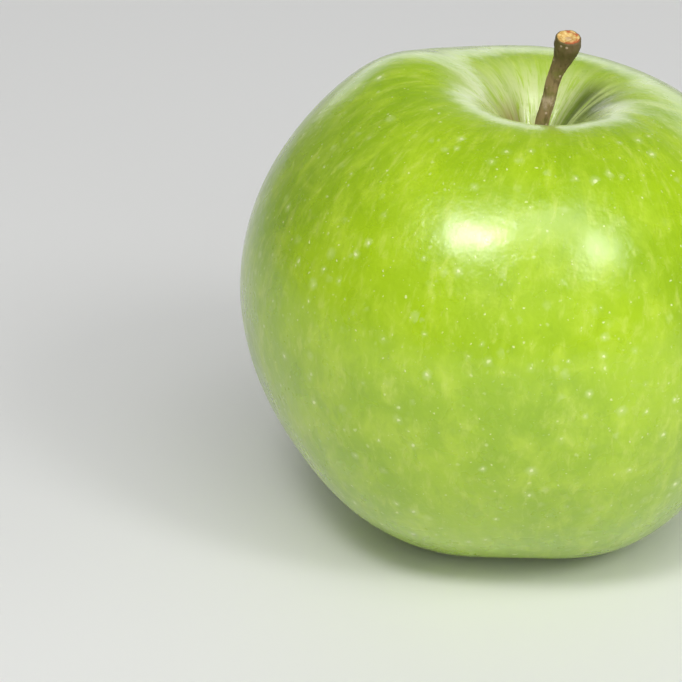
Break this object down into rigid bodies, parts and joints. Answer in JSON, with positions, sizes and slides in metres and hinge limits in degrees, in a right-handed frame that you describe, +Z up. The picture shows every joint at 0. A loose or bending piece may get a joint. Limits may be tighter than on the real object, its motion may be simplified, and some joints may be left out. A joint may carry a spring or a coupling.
{
  "type": "apple",
  "caption": "Green eating apple with a woody stem in its cavity, standing on the lobes round its dried calyx.",
  "frame": {"origin": "on the table under the middle of the apple's bounding box", "axes": "+Z up along the core, -Y towards the side that is seen from the front, +X towards the side that the stem leans to"},
  "size_m": [0.08, 0.08, 0.0779],
  "materials": {
    "green_skin": "satin",
    "stem_bark": "matte",
    "dry_sepal": "matte",
    "dry_stamen": "matte"
  },
  "bodies": {
    "root": {"fruit": "green_skin", "stem": "stem_bark", "sepal_1": "dry_sepal", "sepal_2": "dry_sepal", "sepal_3": "dry_sepal", "sepal_4": "dry_sepal", "sepal_5": "dry_sepal", "stamen_tuft": "dry_stamen"}
  },
  "joints": []
}
